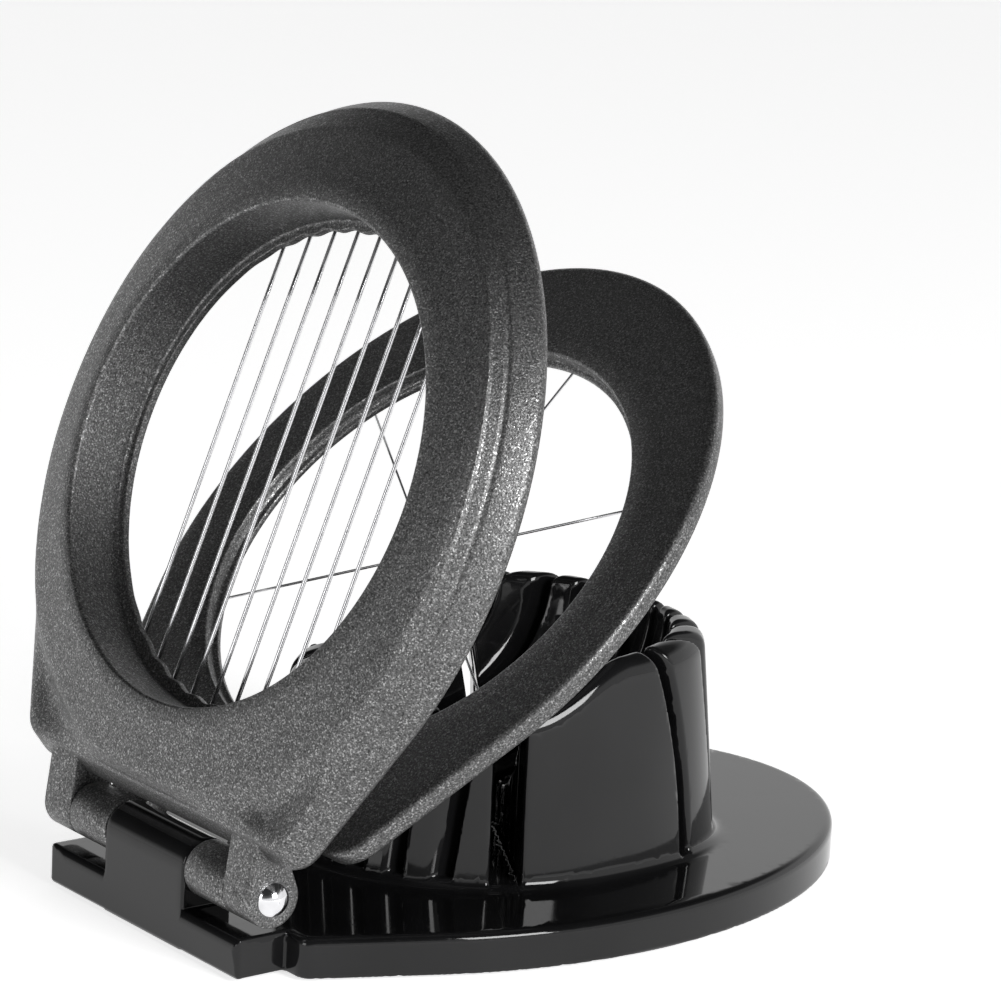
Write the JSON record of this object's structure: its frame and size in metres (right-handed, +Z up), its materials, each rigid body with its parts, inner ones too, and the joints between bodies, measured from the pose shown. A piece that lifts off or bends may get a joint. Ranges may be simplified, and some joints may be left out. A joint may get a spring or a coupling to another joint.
{
  "type": "egg slicer",
  "caption": "Oval base with a slotted egg cup and two hinged oval frames, one strung with parallel slicing wires, one with crossing wedge wires.",
  "frame": {"origin": "on the flat underside of the base, straight below the hinge axis, on the centre line", "axes": "+X along the hinge, +Y from the hinge to the tip, +Z up"},
  "size_m": [0.1004, 0.119, 0.114],
  "materials": {
    "base_plastic": "gloss black moulding",
    "frame_coat": "dark charcoal powder coat with a fine metallic sparkle",
    "pin_chrome": "polished",
    "wire_steel": "bright drawn stainless wire"
  },
  "bodies": {
    "base": {"base": "base_plastic", "hinge_pin": "pin_chrome"},
    "wedge": {"wedge_frame": "frame_coat", "wedge_wire_1": "wire_steel", "wedge_wire_2": "wire_steel", "wedge_wire_3": "wire_steel"},
    "slicer": {"slicing_frame": "frame_coat", "slicing_wire_1": "wire_steel", "slicing_wire_2": "wire_steel", "slicing_wire_3": "wire_steel", "slicing_wire_4": "wire_steel", "slicing_wire_5": "wire_steel", "slicing_wire_6": "wire_steel", "slicing_wire_7": "wire_steel", "slicing_wire_8": "wire_steel", "slicing_wire_9": "wire_steel"}
  },
  "joints": [
    {"name": "wedge_hinge", "type": "hinge", "parent": "base", "child": "wedge", "pos_m": [0, 0, 0.0116], "axis": [1, 0, 0], "range_deg": [-44.4, 5.6]},
    {"name": "slicing_hinge", "type": "hinge", "parent": "wedge", "child": "slicer", "pos_m": [0, 0, 0.0116], "axis": [1, 0, 0], "range_deg": [-23.9, 51.1]}
  ]
}
